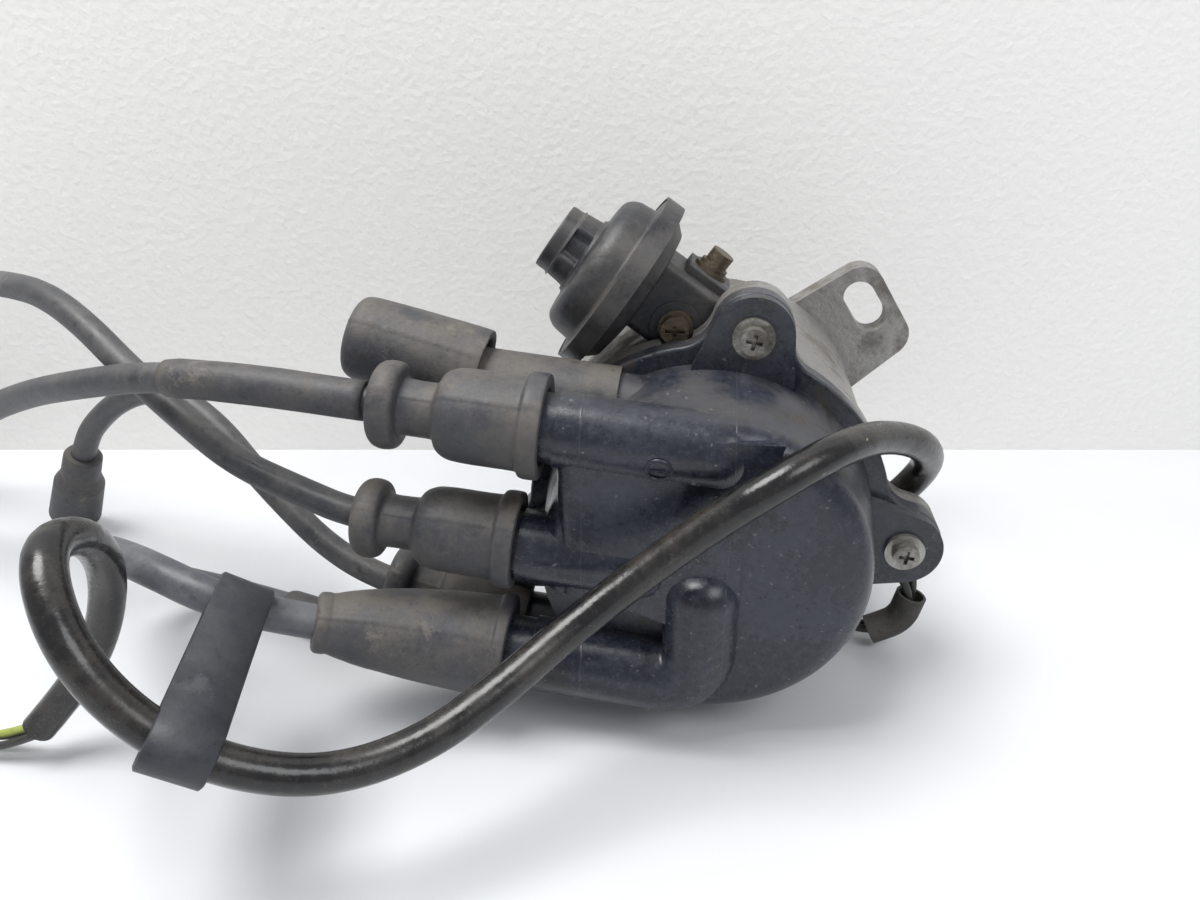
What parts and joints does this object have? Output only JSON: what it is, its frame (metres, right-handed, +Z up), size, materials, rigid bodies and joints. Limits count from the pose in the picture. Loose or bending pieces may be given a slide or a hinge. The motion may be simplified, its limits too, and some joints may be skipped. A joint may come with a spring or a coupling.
{
  "type": "ignition distributor",
  "caption": "Engine ignition distributor with side-exit cap, vacuum advance, slotted ear, rubber-booted leads and a wiring harness.",
  "frame": {"origin": "on the shaft axis at the face of the slotted ear that seats on the engine", "axes": "+Y along the shaft towards the drive end, +Z up, +X right seen from the cap"},
  "size_m": [0.3951, 0.218, 0.1186],
  "materials": {
    "cast": "sand cast, dulled and grimy",
    "phenolic": "moulded black, satin with dust",
    "boot_rubber": "aged black rubber, dusty",
    "lead_rubber": "aged black cable jacket",
    "sheath_rubber": "black sleeving, scuffed",
    "strap_rubber": "flat black rubber",
    "seal_rubber": "black nitrile",
    "bush": "sintered bronze",
    "steel": "turned steel",
    "plated": "zinc plated, dulled",
    "contact": "brass contact",
    "module": "potted black",
    "rotor": "brown-black moulding",
    "carbon": "pressed carbon",
    "vac_metal": "dark bronze passivated steel, grimy",
    "green_wire": "yellow-green insulation",
    "dark_wire": "black insulation",
    "grey_sleeve": "grey woven sleeving"
  },
  "bodies": {
    "distributor_body": {"housing": "cast", "cap": "phenolic", "cap_seal": "seal_rubber", "shaft_bushes": "bush", "oil_seal": "seal_rubber", "spigot_o_ring": "seal_rubber", "base_plate": "steel", "plate_screws": "plated", "ignition_module": "module", "cap_screws": "plated", "vacuum_body": "vac_metal", "vacuum_cover": "vac_metal", "diaphragm": "seal_rubber", "vacuum_spring": "steel", "vacuum_screws": "plated", "side_terminals": "contact", "brush_spring": "steel", "tower_inserts": "contact", "thrust_washer": "steel", "harness_grommet": "seal_rubber", "pickup_grommet": "seal_rubber", "boot_one": "boot_rubber", "boot_two": "boot_rubber", "boot_coil": "boot_rubber", "boot_five": "boot_rubber", "tower_sleeve_four": "boot_rubber", "elbow_boot": "boot_rubber", "lead_a": "lead_rubber", "lead_b": "lead_rubber", "lead_coil": "lead_rubber", "lead_e": "lead_rubber", "lead_sleeve": "boot_rubber", "plug_boots": "boot_rubber", "plug_boot_e": "boot_rubber", "coil_end_plug": "boot_rubber", "harness_sheath": "sheath_rubber", "strap": "strap_rubber", "wire_green": "green_wire", "wires_dark": "dark_wire", "harness_connector": "module", "pickup_wires": "dark_wire", "pickup_wire_sleeve": "grey_sleeve", "pickup_plug": "module"},
    "drive": {"shaft": "steel", "drive_coupling": "steel", "coupling_pin": "steel", "weight_plate": "steel"},
    "upper_weight": {"weight_upper": "steel"},
    "lower_weight": {"weight_lower": "steel"},
    "rotor_stack": {"cam_sleeve": "steel", "reluctor": "steel", "rotor_arm": "rotor", "rotor_electrode": "contact", "rotor_screw": "plated"},
    "pickup_assembly": {"advance_plate": "steel", "pickup_coil": "module", "pole_piece": "steel"},
    "diaphragm_rod": {"vacuum_rod": "steel"},
    "brush": {"carbon_brush": "carbon"}
  },
  "joints": [
    {"name": "shaft_spin", "type": "hinge", "parent": "distributor_body", "child": "drive", "pos_m": [0, 0, 0], "axis": [0, 1, 0], "continuous": true},
    {"name": "cam_advance", "type": "hinge", "parent": "drive", "child": "rotor_stack", "pos_m": [0, 0, 0], "axis": [0, 1, 0], "range_deg": [0, 14.7]},
    {"name": "upper_weight_swing", "type": "hinge", "parent": "drive", "child": "upper_weight", "pos_m": [0.017, -0.039, 0], "axis": [0, 1, 0], "range_deg": [0, 14.2]},
    {"name": "lower_weight_swing", "type": "hinge", "parent": "drive", "child": "lower_weight", "pos_m": [-0.017, -0.039, 0], "axis": [0, 1, 0], "range_deg": [0, 14.2]},
    {"name": "plate_advance", "type": "hinge", "parent": "distributor_body", "child": "pickup_assembly", "pos_m": [0, -0.053, 0], "axis": [0, -1, 0], "range_deg": [0, 10]},
    {"name": "rod_pull", "type": "slide", "parent": "distributor_body", "child": "diaphragm_rod", "axis": [-0.8192, 0, 0.5736], "range_m": [0, 0.0045], "deforming": ["diaphragm", "vacuum_spring"]},
    {"name": "brush_slide", "type": "slide", "parent": "distributor_body", "child": "brush", "axis": [0, -1, 0], "range_m": [0, 0.001], "deforming": ["brush_spring"]}
  ],
  "couplings": [
    {"joint": "upper_weight_swing", "follows": "cam_advance", "ratio": 0.9524},
    {"joint": "lower_weight_swing", "follows": "cam_advance", "ratio": 0.9524},
    {"joint": "rod_pull", "follows": "plate_advance", "m_per_rad": 0.02525}
  ]
}
